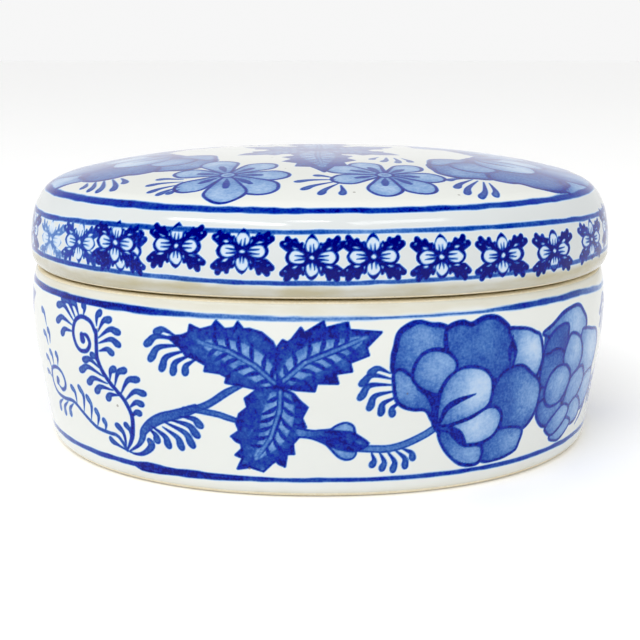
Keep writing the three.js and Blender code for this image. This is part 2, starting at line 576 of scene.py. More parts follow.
def leaf_teeth(canvas, corners, spine):
    """A stroke towards the midrib from each corner that stands further out than the two beside it."""
    for before, tooth, after in zip(np.roll(corners, 1, axis=0), corners, np.roll(corners, -1, axis=0)):
        inner = spine[np.argmin(np.hypot(*(spine - tooth).T))]
        depth = math.dist(inner, tooth)
        if depth > max(math.dist(inner, before), math.dist(inner, after)):
            root = tooth + (inner - tooth) * min(0.45, 2.4 / depth)
            brush(canvas, [(*tooth, 0.3), (*((tooth + root) / 2), 0.85), (*root, 0.2)], 0.98)


LEAF_UP_LEFT = [
    (-6.8, 21.8), (-6.9, 25), (-7.1, 28.2), (-7.9, 29.8), (-9.8, 31.3), (-11.9, 31.9), (-13, 31.8), (-14, 33),
    (-14.6, 32), (-16.3, 31.7), (-17.9, 33), (-18.6, 32), (-20.8, 31.4), (-22.7, 32.1), (-22.9, 30.7),
    (-24.1, 30.1), (-26.8, 29.6), (-24.6, 28), (-23.5, 26.6), (-21.6, 26), (-19.8, 25.1), (-20.1, 24),
    (-17.3, 23.8), (-16, 23.2), (-16.3, 22.1), (-14.1, 21.8), (-10.5, 21.1),
]
LEAF_UP_RIGHT = [
    (-6.8, 21.8), (-7.4, 25), (-7.4, 28), (-6.9, 29), (-6.1, 30.1), (-5.3, 29.7), (-4.6, 30.2), (-3, 32.3),
    (-2.4, 31.4), (0.9, 33.3), (1.2, 32.2), (5.1, 33.2), (5.4, 31.9), (10.9, 31.4), (9.3, 29.8), (8.3, 28.8),
    (8.7, 27.4), (5.4, 26.2), (5.8, 24.6), (2.9, 24.2), (3.4, 22.4), (-0.3, 22.5), (-0.7, 21), (-3.9, 21.2),
]
LEAF_DOWN = [
    (-6.8, 21.8), (-10.4, 21.3), (-12.9, 19.3), (-12.5, 17.6), (-14.1, 16.3), (-14.8, 14.4), (-14.3, 13),
    (-15.9, 11.8), (-14.2, 11), (-14, 9.5), (-15.3, 8.2), (-13.9, 7.7), (-15, 5.5), (-12.6, 6), (-10.2, 5.2),
    (-8.5, 6.9), (-7.3, 7.7), (-6.2, 6.3), (-5.7, 8.8), (-4.4, 8.8), (-4.6, 10.8), (-3.4, 12.3), (-2.2, 14.1),
    (-2.9, 15.8), (-1.9, 17.9), (-3.3, 19.2), (-4.3, 20.4),
]


def three_leaves(canvas):
    leaf(canvas, LEAF_UP_LEFT, [(-7.6, 22.3), (-11, 25.4), (-15.7, 27.9), (-21, 29.2)], 3)
    leaf(canvas, LEAF_UP_RIGHT, [(-6, 22.8), (-2.2, 26.2), (4.5, 29), (8.2, 30.6)], 2.9)
    leaf(canvas, LEAF_DOWN, [(-6.6, 20.9), (-6.9, 17), (-8.6, 11.9), (-11.5, 7.6)], 3.3)
    fan(canvas, [(-29.3, 30.3), (-31.3, 27.9), (-30.6, 25.2), (-28.4, 23.6), (-26.2, 23.1), (-23.8, 23.3)],
        (-25.4, 30), (-21.6, 26))


def branch(canvas):
    """The twig that comes in from the left, forks, and carries the leaves and the bud."""
    brush(canvas, [(-37.8, 6, 0.3), (-35.5, 7.6, 0.8), (-34.3, 9.2, 1.3), (-33.7, 10.8, 1.6),
                   (-31.8, 12.6, 2), (-29.5, 14, 2.1), (-27, 14.9, 2), (-24.5, 15.8, 1.9),
                   (-22.3, 16.8, 1.6)], 0.94, pool=0.24)
    ribbon(canvas, [(-24.5, 16.2), (-22.5, 16.6), (-20.3, 17.5), (-18.5, 18.6), (-16, 20.4), (-12.5, 22.2)],
           1.35, 0.93, pool=0.26)
    ribbon(canvas, [(-23.5, 16.6), (-18.5, 16), (-16.6, 15.5), (-14.2, 14.8)], 1.25, 0.93, pool=0.26, tip=0.8)
    commas(canvas, [
        (-21.6, 13.4, -25.7, 14.9), (-22.4, 11.4, -28, 14), (-23.5, 9.3, -29.1, 13.4),
        (-25.8, 8.6, -29.4, 12.3), (-28.5, 8.6, -31.8, 12.1), (-30.9, 9.3, -32.4, 11.5),
    ], width=1.65, bow=0.16)


def bud(canvas):
    wash(canvas, [(1, 12.4), (2.3, 13.7), (3.7, 14.6), (5, 14.9), (6.1, 14.4), (6.5, 13.4), (6, 12)], 0.42,
         edge=0.93, line=0.45)
    wash(canvas, [(1.4, 11.4), (2.4, 9.7), (3.7, 8.3), (5, 7.7), (6.3, 8), (6.9, 9.2), (6, 11)], 0.44,
         edge=0.93, line=0.45)
    wash(canvas, [(-3.6, 13.9), (-1.2, 13.3), (0.8, 13.4), (2.6, 13.5), (4.4, 13.4), (6.2, 13.2),
                  (7.6, 12.3), (9.2, 11), (8.6, 9.8), (6.8, 9.2), (5, 9.3), (3.4, 9.7), (2, 10.4),
                  (0.6, 11.3), (-1.5, 12.1), (-3.6, 12.3)], 0.86, (-2.6, 12.8), 0.55, reach=2.2, mottle=2.2)
    ribbon(canvas, [(-3.8, 13.9), (-1.2, 13.4), (0.8, 13.5), (2.6, 13.7)], 0.45, 0.95, tip=1)
    ribbon(canvas, [(-3.8, 12.2), (-1.5, 12), (0.6, 11.2), (2, 10.3)], 0.45, 0.95, tip=1)
    ribbon(canvas, [(0.4, 12.3), (3.5, 11.5), (6.8, 10.2)], 0.6, 0.98)
    ribbon(canvas, [(6.1, 13), (7.5, 12.1), (9.3, 10.8)], 0.5, 0.97)
    ribbon(canvas, [(2.4, 12.9), (4.6, 12.4), (6.6, 11.4)], 0.5, 0.97)
    brush(canvas, [(5.5, 10, 0.9), (6.3, 9.7, 0.7)], 1.0)
    wipe(canvas, (6.9, 11.3), (8.1, 10.6), 0.9, 0.6)
    ribbon(canvas, [(6.6, 10), (9.8, 9.7), (12.8, 9.6), (15.9, 10.3), (19.4, 11.8), (21.4, 13)], 1.5, 0.94,
           pool=0.36, tip=1)
    fan(canvas, [(9.9, 6.4), (11.8, 5.6), (13.9, 5.2), (16.2, 5.8), (17.6, 7.3)], (9.7, 9), (15.3, 9.5),
        width=1.4)
    fan(canvas, [(9, 24.2), (7.5, 22.2), (7.3, 19.6), (9, 17.6), (11.1, 16.5), (13.2, 16.2)], (12.6, 24),
        (14.6, 18.6), width=1.45, bow=0.24)


# Each petal: outline, tone, where it is lightest and how light, width of its edge. The ones behind come
# first.
PEONY = [
    ([(13.2, 24), (13, 26.6), (13.5, 28.8), (13.9, 30.7), (15, 31.9), (17.5, 32.9), (20, 32.3), (21.6, 32.1),
      (22.8, 31.3), (22.9, 28), (21, 25), (16.5, 22.6)], 0.7, (18.7, 29.3), 0.46, 1.0),
    ([(22.8, 31.3), (25.6, 32.3), (27.5, 31.8), (30, 32.7), (32.5, 32.6), (34.4, 31.3), (35.6, 29.8),
      (36.6, 26.9), (36.9, 24.4), (36.3, 22.6), (33.4, 21), (28, 22), (23.5, 24.5), (22.6, 28)],
     0.7, (29, 29), 0.58, 1.0),
    ([(35.3, 29.9), (37.5, 30.1), (40, 29.6), (41.6, 28.8), (42.7, 28.2), (43.5, 26), (43.8, 23.5),
      (43.2, 21.3), (42.4, 20.1), (39, 20.5), (36.6, 23), (36.9, 26)], 0.58, (41.7, 26), 0.22, 0.8),
    ([(33.8, 21.6), (36.3, 22.9), (38.8, 22.9), (41.3, 21), (43.6, 19.1), (44.3, 16.6), (43.9, 13.5),
      (42.7, 11.3), (40.8, 10), (37.5, 10.2), (35.6, 11.3), (33, 14), (32.3, 18)],
     0.68, (42.3, 17), 0.42, 0.75),
    ([(31.3, 8.2), (35, 11), (40.6, 10.1), (40.3, 6.9), (39.4, 5.7), (35.6, 4.8), (31.9, 5.1)],
     0.66, (39.3, 8), 0.45, 0.7),
    ([(22.2, 11.9), (23.1, 9.4), (25, 6.9), (27.2, 5.2), (30, 4.6), (31.6, 5.4), (31.3, 8.2), (27, 9.4),
      (24, 12)], 0.62, (29.5, 6.7), 0.38, 0.7),
    ([(13.2, 24), (13.3, 21.6), (13.8, 19), (15.2, 17.6), (17.2, 16.9), (19.4, 16.6), (20.9, 14.4),
      (21.6, 17), (20.4, 21), (17, 22.8), (14.5, 24.6)], 0.64, (15.4, 21.3), 0.46, 0.75),
    ([(16.7, 22.6), (16.9, 25.2), (18.3, 27.2), (20.5, 27.9), (23, 27.2), (24.8, 25), (24, 22.5), (22, 19.5),
      (19, 20.3)], 0.62, (22.5, 25.6), 0.38, 0.8),
    ([(24.7, 13), (28, 14.2), (31.9, 15.8), (34.1, 15.4), (35.3, 13.5), (34.7, 11), (33.1, 9.4), (30.3, 8.7),
      (27.5, 9), (25.9, 10.4)], 0.5, (30.3, 12.4), 0.24, 0.75),
    ([(21.6, 17.3), (21.9, 20), (23.4, 22.6), (25.6, 24), (28.1, 24.1), (30.6, 23.2), (32.2, 21.3),
      (32.5, 18.5), (32, 16.3), (30, 15), (27.5, 14), (24, 13.3), (21.9, 13.8)],
     0.54, (29.7, 20.3), 0.2, 0.8),
]
PEONY_ACCENTS = [
    [(17.4, 20.9, 0.3), (19.6, 19.6, 1.2), (20.8, 17.5, 1.5), (21.4, 14.5, 1.0)],
    [(22.3, 14.1, 0.8), (23.4, 16.6, 1.3), (25.6, 17.9, 1.2), (28.9, 18.8, 0.3)],
    [(24.4, 12.8, 0.8), (26.2, 11.2, 1.8), (27.7, 9.3, 0.9)],
    [(20.6, 16, 0.9), (21.5, 13.6, 1.5), (22.4, 12, 1.0)],
    [(36.2, 29, 0.3), (35.6, 26, 1.1), (35.9, 23.2, 0.4)],
]
PEONY_BACKING = [(21.5, 13), (19, 19), (24, 26), (34, 24), (36, 14), (32, 8), (26, 9)]
SIDE_PEONY_BACKING = [(45, 12), (44.2, 20), (43.9, 26.5), (44.6, 28.4), (49, 29.5), (55, 28), (62, 24),
                      (64, 15), (60, 9), (52, 7)]
SIDE_PEONY = [
    ([(43.6, 28.2), (46.1, 29.4), (49.6, 31.2), (53.6, 31.9), (55.5, 31.6), (56.8, 30.4), (58.3, 28.5),
      (58, 26.6), (54, 25), (50, 26), (46, 27)], 0.52, (55, 29), 0.3, 0.75),
    ([(43.6, 21.5), (43.9, 24.1), (45, 26.6), (47.4, 28.5), (50.5, 29), (51.4, 27.6), (49.9, 23)],
     0.72, (45, 25), 0.66, 0.7),
    ([(56.5, 26), (58.3, 26.6), (61.1, 26), (64.9, 24.8), (66.5, 21), (65, 16.5), (61, 16), (57, 19)],
     0.5, (63, 23), 0.24, 0.6),
    ([(44, 18), (44, 23.5), (45.8, 24.1), (47.7, 24.6), (49.9, 23.8), (50.6, 21.3), (48.3, 18)],
     0.73, (48, 20), 0.6, 0.7),
    ([(50.2, 22), (51.8, 26.3), (53.6, 26.6), (55.8, 25.4), (57.4, 22.9), (57.4, 20.4), (55.5, 17.9),
      (53, 17.5)], 0.55, (54.5, 23.5), 0.32, 0.7),
    ([(60.3, 16), (64.9, 17), (66.8, 14), (65.5, 11), (62, 9), (58.4, 11.5)], 0.5, (64, 14), 0.3, 0.6),
    ([(53, 14), (54, 17.5), (58, 19.1), (59.9, 17.6), (60.5, 15.4), (58.6, 12.9), (55.5, 11.2), (52.5, 11.5)],
     0.57, (58, 16.5), 0.36, 0.7),
    ([(55, 8.8), (55.5, 11.4), (58.6, 12.6), (61.5, 10), (60.5, 7.5), (57.4, 7)],
     0.52, (59.5, 9.5), 0.34, 0.6),
    ([(44.3, 14.1), (44.6, 11.3), (47.4, 9.1), (51.4, 11), (52.1, 12.9), (50, 15), (46, 15)],
     0.68, (50, 12.5), 0.5, 0.7),
    ([(49.9, 6.7), (49.9, 5.7), (53, 4.8), (55.5, 5.7), (57.4, 7.6), (55, 9), (52, 8)],
     0.55, (55, 7), 0.35, 0.6),
    ([(48, 9), (48, 7.9), (50.5, 6.5), (54.3, 8.5), (55.5, 11), (53, 12.3), (50, 10.8)],
     0.57, (53.5, 10), 0.36, 0.65),
    ([(45.7, 16.8), (46.6, 19.6), (49, 21), (51.8, 20.5), (53.7, 18.2), (53.2, 15.3), (51, 13.2), (48, 13),
      (46.2, 14.4)], 0.63, (50.7, 18), 0.36, 0.75),
]


def peony(canvas, petals, backing, accents=()):
    wash(canvas, backing, 0.7)
    for outline, tone, light, light_tone, line in petals:
        wash(canvas, outline, tone + 0.05, light, light_tone + 0.02, reach=5.5, edge=0.97, line=line,
             mottle=0.8)
    for stroke in accents:
        brush(canvas, stroke, 0.97)


def scroll_spray(canvas):
    """The feathery scrolls at the left: two spirals, a stem, and commas along them."""
    ribbon(canvas, [(-42.9, 28.2), (-44.1, 30.1), (-45.7, 30.8), (-47.3, 30.8), (-48.8, 29.8), (-49.5, 27.9),
                    (-49.3, 26.3), (-48.5, 24.9), (-47.3, 24.3), (-45.7, 24.6), (-44.8, 25.7), (-44.8, 26.6),
                    (-45.5, 27.5), (-46.6, 27.7)], 0.85, 0.92)
    ribbon(canvas, [(-42.9, 28.8), (-42.9, 26.6), (-43, 24.1), (-42.7, 22.9), (-41.9, 21.3), (-40.4, 19.4),
                    (-38.8, 17.9), (-37.3, 16.3), (-36.1, 13.6), (-36.2, 11.1), (-36.8, 8.8), (-38.3, 6.2)],
           0.95, 0.93, tip=0.4)
    brush(canvas, [(-46.9, 27.4, 1.2), (-46.7, 26.5, 1.5)], 0.92)
    commas(canvas, [
        (-55.1, 31.8, -49.4, 29.8), (-55.2, 28.7, -49.8, 28.8), (-53.5, 26.5, -49.9, 27.6),
        (-53.5, 33.2, -48.5, 30.1), (-50.4, 33.2, -47.6, 30.8), (-46.6, 33.2, -46.3, 31.3),
        (-41.9, 32.4, -42.7, 29.8), (-39.4, 31.4, -42.3, 28.8), (-37.3, 29.3, -42.3, 27.6),
        (-37.3, 27, -42.3, 26.6), (-39, 25.2, -42.3, 25.1), (-44.4, 24, -42.7, 22.6),
        (-46.8, 22.6, -42.3, 21.6), (-48.2, 20.3, -41.6, 20.2), (-46.3, 18.2, -41, 19),
        (-44.4, 16.8, -39.8, 17.9), (-41.5, 15.9, -38.5, 17.1), (-38.8, 22.3, -40.2, 19.8),
        (-36.3, 22.4, -39.2, 18.8), (-33.6, 21, -38, 17.4), (-32.5, 18.4, -37.2, 16.3),
        (-33.3, 16.2, -36.5, 14.9), (-34.1, 14.3, -36.1, 13.2),
    ], width=1.45)
    ribbon(canvas, [(-38.4, 6.1), (-39.6, 7.9), (-40.7, 8.7), (-42.7, 8.8), (-45.6, 9.1), (-47.3, 9.8),
                    (-49.8, 11.3), (-51.9, 12.6), (-53.5, 13), (-56.6, 12.7), (-59.8, 13.2), (-61.2, 15),
                    (-60.8, 17.3), (-59.8, 18.3), (-57.6, 18.8), (-55.7, 18.2), (-54.9, 16.6), (-55.4, 15.1),
                    (-56.9, 14.4), (-58.4, 15.1)], 0.8, 0.8)
    brush(canvas, [(-58.7, 15.4, 1.1), (-58.2, 16.2, 1.4)], 0.78)
    commas(canvas, [
        (-52.6, 16, -51.5, 12.9), (-49.8, 16.6, -49.4, 11.7), (-47.6, 15.1, -47.4, 10.5),
        (-45.5, 12.8, -45.7, 9.6), (-43.6, 11.2, -43.6, 9), (-59.8, 9.6, -57.5, 12.2),
        (-57.5, 9.2, -55.2, 12.3), (-55, 9.6, -53, 12.4), (-62.5, 20, -60.6, 18), (-59.9, 21.6, -59, 19),
        (-57, 21.8, -57, 19.3), (-63.9, 16.5, -61.6, 15.8), (-62.4, 25, -60.5, 22.8), (-60, 26, -59.3, 23.4),
        (-63, 29.5, -60.5, 26.6),
    ], width=1.3, ink=0.84)
    palmette = [
        [(-38.5, 6, 0.25), (-40.6, 6.7, 0.7), (-42, 7.2, 1.3), (-42.4, 7.6, 1.1)],
        [(-38.7, 6.2, 0.25), (-38.5, 8, 0.6), (-38.8, 9.6, 0.9), (-39.8, 10.6, 1.4), (-40.2, 10.8, 1.1)],
        [(-38.3, 6.2, 0.25), (-37, 8.2, 0.7), (-36.9, 10.2, 0.9), (-37.8, 11.3, 1.3)],
        [(-38, 5.9, 0.25), (-36.4, 5.7, 0.5), (-34.6, 6.1, 0.9), (-32.9, 7.3, 1.3), (-32.3, 8.3, 1.6),
         (-32.7, 9, 1.2)],
    ]
    for stroke in palmette:
        brush(canvas, stroke, 0.95, 0.24)


STAMP_SQUAT = 0.88  # a stamp's height, as a share of what is drawn
STAMP_SLIP = 0.12  # how far the points of a stamp may stray
SIDE_PETAL = [(1.15, 0.15), (1.5, 0.8), (2.6, 1.2), (3.5, 0.95), (4, 0), (3.5, -0.95), (2.6, -1.2),
              (1.5, -0.8), (1.15, -0.15)]
UPRIGHT_PETAL = [(0.15, 1.1), (0.8, 1.5), (1.05, 2.5), (0.4, 3.5), (-0.4, 3.5), (-1.05, 2.5), (-0.8, 1.5),
                 (-0.15, 1.1)]


def stamp(canvas, u, v, strength, seed):
    """A flower stamped on the band: four pale petals in a dark ground, and a forked dark arm between each two
    of them. The lower arms reach a little further than the upper ones."""
    canvas.place(u, v)
    chance = np.random.default_rng(seed)

    def slipped(x, y):
        slip_x, slip_y = chance.uniform(-STAMP_SLIP, STAMP_SLIP), chance.uniform(-STAMP_SLIP, STAMP_SLIP)
        return x + slip_x, STAMP_SQUAT * y + slip_y

    def dark(*points):
        thinner = 0.2 + 0.8 * strength
        brush(canvas, [(*slipped(x, y), width * thinner) for x, y, width in points], 1.06 * strength)

    def pale(*points):
        curve = flowing(canvas.placed([slipped(x, y) for x, y in points]), closed=True)
        cells, across, up = canvas.window(curve, 0.5)
        inside = inside_distance(curve, across, up)
        canvas.lay(cells, smoothstep(0.5 + inside / (2 * SOFT_EDGE)), 0.13)

    for x in (-1, 1):
        dark((0.6 * x, 0, 2.6), (2.8 * x, 0, 3.1), (4.4 * x, 0, 0.4))
        for y, arm in ((1, 0.84), (-1, -1.04)):
            dark((0.8 * x, y, 2.3), (2.4 * x, 1.95 * arm, 2.2), (3.7 * x, 2.6 * arm, 2.3))
            dark((4 * x, 2.3 * arm, 1.7), (5.1 * x, 2.9 * arm, 1.2))
            dark((3.8 * x, 2.7 * arm, 1.7), (4.3 * x, 4.1 * arm, 1.1))
            dark((2.7 * x, 2.3 * arm, 1.6), (2.8 * x, 3.8 * arm, 0.9))
            dark((1.5 * x, 1.9 * arm, 1), (1.6 * x, 3 * arm, 0.6))
    for y in (-1, 1):
        dark((0, 0.8 * y, 2.4), (0, 2.7 * y, 2.3), (0, 4.3 * y, 0.3))
    for x in (-1, 1):
        pale(*((x * a, b) for a, b in SIDE_PETAL))
    for y in (-1, 1):
        pale(*((a, y * b) for a, b in UPRIGHT_PETAL))
        for x in (-1, 1):
            dark((1.1 * x, 0.3 * y, 0.45), (2.9 * x, 0.42 * y, 0.15))
            dark((0.3 * x, 1.0 * y, 0.4), (0.36 * x, 2.4 * y, 0.12))
            pale((2.35 * x, 1.6 * y), (3 * x, 1.6 * y), (3.5 * x, 1.95 * y), (2.9 * x, 1.95 * y))
            pale((4.5 * x, 2.4 * y), (4.75 * x, 2.5 * y), (4.55 * x, 2.75 * y), (4.35 * x, 2.6 * y))
            pale((1.35 * x, 1.75 * y), (1.6 * x, 1.9 * y), (1.5 * x, 2.45 * y))
    pale((0.5, 0), (0, 0.45), (-0.5, 0), (0, -0.45))
    canvas.place()


# Half of a daisy petal's edge from its root: shares of the way to its tip, and of its half width.
PETAL_FLANK = [(0.12, 0.2), (0.42, 0.66), (0.72, 1), (0.93, 0.6)]


def daisy(canvas, centre, tips):
    """A flower seen from above, with a petal out to each tip."""
    centre = np.array(centre, float)
    reaches = np.array(tips, float) - centre
    for reach in reaches:
        side = 0.27 * np.array([-reach[1], reach[0]])
        flank = [centre + along * reach + out * side for along, out in PETAL_FLANK]
        other = [centre + along * reach - out * side for along, out in PETAL_FLANK[::-1]]
        wash(canvas, [*flank, centre + reach, *other], 0.46, light=centre + 0.8 * reach, light_tone=0.34,
             edge=0.96, line=0.65)
    for reach in reaches:
        tear = [(0.18, 0.3), (0.4, 1.5), (0.54, 1.1)]
        brush(canvas, [(*(centre + share * reach), width) for share, width in tear], 0.84)
    ring = [centre + 1.6 * np.array([math.cos(a), math.sin(a)]) for a in np.linspace(0, 2 * math.pi, 9)[:-1]]
    wash(canvas, ring, 0.32, edge=0.95, line=0.6)
    brush(canvas, [(*(centre - (0.4, 0)), 0.7), (*(centre + (0.4, 0)), 0.7)], 0.75)


# ---------------------------------------------------------------- the decoration

LEAVES_APART = 98.5  # from the twig on the front to the one at the right end of the box


def paint_base():
    """The side of the base. The back repeats the front half a turn on, and leaves fill the gaps between."""
    canvas = Canvas((-GIRTH / 2, GIRTH / 2), (0, SEAT + 1), wrapped=True)
    for turn in (0, GIRTH / 2):
        for place in (turn + LEAVES_APART, turn):
            canvas.place(place)
            branch(canvas)
            three_leaves(canvas)
        bud(canvas)
        scroll_spray(canvas)
        peony(canvas, SIDE_PEONY, SIDE_PEONY_BACKING)
        peony(canvas, PEONY, PEONY_BACKING, PEONY_ACCENTS)
    return canvas


BAND_STAMPS = [
    # girth, height, strength
    (-57.5, 44, 0.55), (-47.3, 44.7, 0.8), (-36.7, 44.3, 0.92), (-38, 45.5, 0.95), (-25.4, 45.9, 1),
    (-13.3, 45.4, 1), (-1.3, 44.5, 1), (9.2, 44.6, 1), (21.2, 44.2, 1), (33.2, 43.7, 1), (45.5, 43.3, 1),
    (59, 43.8, 0.95),
]
STAMP_SPACING = 12
STAMP_HEIGHT = 44.6


def unseen_stamps():
    """Stamps round the back, spaced evenly, a little up and down."""
    first, last = BAND_STAMPS[0][0] + GIRTH, BAND_STAMPS[-1][0]
    gaps = round((first - last) / STAMP_SPACING)
    return [
        (last + k * (first - last) / gaps, STAMP_HEIGHT + 0.7 * math.sin(2.3 * k), 0.97)
        for k in range(1, gaps)
    ]


def paint_band():
    canvas = Canvas((-GIRTH / 2, GIRTH / 2), (RIM, RIM + 17), wrapped=True)
    for seed, (u, v, strength) in enumerate(BAND_STAMPS + unseen_stamps()):
        stamp(canvas, u, v, strength, seed)
    return canvas


DAISIES = [
    ((-16.7, -31), [(-20, -18), (-8.7, -22.6), (-5.3, -32.7), (-8.3, -42), (-26.8, -27), (-25.2, -38.6),
                    (-16.3, -45)]),
    ((12.2, -31.8), [(7.4, -21.8), (18.6, -23.6), (23.2, -32.4), (20.2, -40.6), (1.3, -26.4), (2.6, -36.2),
                     (11.7, -43.2)]),
]
# Each fan: the heads of its commas, and its first and last tail.
DOME_FANS = [
    ([(-29.6, -30.2), (-31, -33.4), (-30.2, -37.2), (-28.4, -39), (-26.6, -39)],
     (-24.8, -32), (-24.8, -37.6)),
    ([(-0.4, -32.8), (-3.8, -36.6), (-2.6, -40.6), (0.4, -42.8), (4.2, -42.8)], (2.8, -34.4), (4, -38.6)),
    ([(-44.3, -27.6), (-42.5, -30.2), (-40.5, -32), (-37.6, -33), (-36, -29.6)],
     (-44.1, -24.6), (-37.4, -25.4)),
    ([(23.8, -32.8), (24.8, -36.8), (26.4, -39.4), (28.8, -40.2), (31.6, -38.6)],
     (27.4, -30.6), (31.4, -32)),
    ([(10.5, -17), (12.6, -19.6), (15.4, -20.4), (18, -19)], (12, -13.6), (16.5, -14.6)),
]
LONG_LEAF = [
    (0, -2), (-3.6, -4.6), (-6.2, -8), (-5.4, -11), (-8, -13.4), (-6.2, -16.4), (-8.2, -19.4), (-5.4, -21.8),
    (-6, -25), (-3.2, -25.6), (-1, -30.4), (1, -25.6), (3.6, -25.2), (3.2, -21.6), (5.8, -19.2), (4.2, -16),
    (5.8, -13), (3.6, -10.6), (4.4, -7.6), (2.4, -4.4),
]
SHORT_LEAF = [
    (0, -2), (-3.6, -5.6), (-4.4, -9), (-6.4, -11.4), (-5, -13.6), (-5.8, -16.4), (-3.2, -17.4), (-2.6, -20),
    (0, -23.4), (2.4, -20), (3.4, -17), (5.6, -16.2), (4.6, -13.4), (6, -11), (4.2, -8.6), (3.4, -5.4),
]
PEONY_HEART = (21.6, 13.2)  # where the petals meet the stem
DOME_PEONY_SIZE = 1.12


def dome_peonies(canvas, side):
    for heart, mirrored in (((-30, -2.6), False), ((31, -8.5), True)):
        canvas.place(turn=side)
        u, v = canvas.placed(heart)
        canvas.place(u, v, side + 180, DOME_PEONY_SIZE, mirrored, pin=PEONY_HEART)
        peony(canvas, PEONY, PEONY_BACKING, PEONY_ACCENTS)


def dome_flowers(canvas, side):
    canvas.place(turn=side)
    for centre, tips in DAISIES:
        daisy(canvas, centre, tips)
    for heads, first_tail, last_tail in DOME_FANS:
        fan(canvas, heads, first_tail, last_tail, width=1.5, bow=0.06)


def dome_leaves(canvas, side):
    canvas.place(turn=side + 4)
    leaf(canvas, LONG_LEAF, [(-0.3, -3), (-1, -12), (-1, -26)], 4.2)
    for turn in (-60, 60):
        canvas.place(turn=side + turn, size=0.8)
        leaf(canvas, SHORT_LEAF, [(0, -3), (0.2, -10), (0, -19)], 3.4)


def paint_dome():
    """The top of the lid, in plan: peonies at the sides, leaves in the middle, daisies before and behind."""
    canvas = Canvas((-HALF_LENGTH, HALF_LENGTH), (-HALF_LENGTH, HALF_LENGTH))
    for side in (180, 0):
        dome_peonies(canvas, side)
    for side in (0, 180):
        dome_flowers(canvas, side)
        dome_leaves(canvas, side)
    canvas.place()
    brush(canvas, [(-2.5, 0, 5), (2.5, 0, 5)], 0.95, pool=0.1)
    return canvas


# The ring lines: at places along the girth, a line's middle height, thickness and ink.
DOME_LINE = [(-160, 52, 0.85, 0.85), (-80, 52, 0.9, 0.88), (-45, 52, 1.1, 0.89), (0, 52, 0.85, 0.88),
             (60, 52, 0.9, 0.86)]
# Line B's ink is thinner from the front to about 17 mm right of it: a painted highlight on the shoulder.
BAND_TOP_LINE = [(-150, 48.6, 0.8, 0.8), (-62, 47.9, 0.9, 0.84), (-40, 48.6, 0.9, 0.8), (0, 48.7, 0.75, 0.72),
                 (8, 48.7, 0.7, 0.58), (17, 48.7, 0.75, 0.68), (40, 48.6, 0.85, 0.82), (62, 47.8, 0.9, 0.8)]
BAND_LOW_LINE = [(-140, 40.4, 0.8, 0.76), (-60, 40.5, 0.95, 0.84), (-30, 40.4, 0.8, 0.68),
                 (-14, 40.05, 0.85, 0.8), (0, 40.1, 0.8, 0.72), (20, 40.3, 0.75, 0.7), (55, 40.5, 0.8, 0.76)]
BASE_TOP_LINE = [(-150, 33.8, 0.9, 0.75), (-62, 33.9, 1.2, 0.94), (-54, 33.9, 1.25, 0.98),
                 (-30, 33.9, 1.25, 0.95), (-22, 33.9, 0.9, 0.66), (5, 33.8, 0.85, 0.55), (12, 33.9, 0.5, 0.6),
                 (30, 33.9, 0.55, 0.66), (38, 34, 1.15, 0.84), (56, 34, 1.2, 0.8), (68, 32.9, 1, 0.55)]
BASE_LOW_LINE = [(-150, 3.6, 0.9, 0.78), (-60, 3.7, 1.05, 0.8), (-37, 3.6, 1.05, 0.84),
                 (-35.5, 3.4, 2.0, 0.99), (-26, 3.45, 1.6, 0.97), (-16, 3.5, 1.25, 0.93),
                 (-8, 3.65, 0.85, 0.86), (30, 3.6, 0.9, 0.84), (60, 3.7, 1.05, 0.82)]
LINE_SEED = 11  # the first line's. A line draws on four seeds, and the next one's is 10 further on.


def side_ink(canvas, surface, lines):
    """Ink at each point of a side: what is on the canvas, and the lines that run round."""
    u = girth(surface.angles)
    height = surface.points[:, 2]
    ink = canvas.sample(u, height)
    for number, knots in enumerate(lines):
        ink = np.maximum(ink, ring_line(u, height, knots, LINE_SEED + 10 * number))
    return ink


def dome_ink(canvas, surface):
    """Ink on the dome, with its half of the line that it shares with the band."""
    x, y, z = surface.points.T
    return np.maximum(canvas.sample(x, y), ring_line(girth(surface.angles), z, DOME_LINE, LINE_SEED))


# ---------------------------------------------------------------- materials

def linear(code):
    """A colour in linear light from its sRGB hex code."""
    values = [int(code[i : i + 2], 16) / 255 for i in (1, 3, 5)]
    return (*(c / 12.92 if c <= 0.04045 else ((c + 0.055) / 1.055) ** 2.4 for c in values), 1.0)


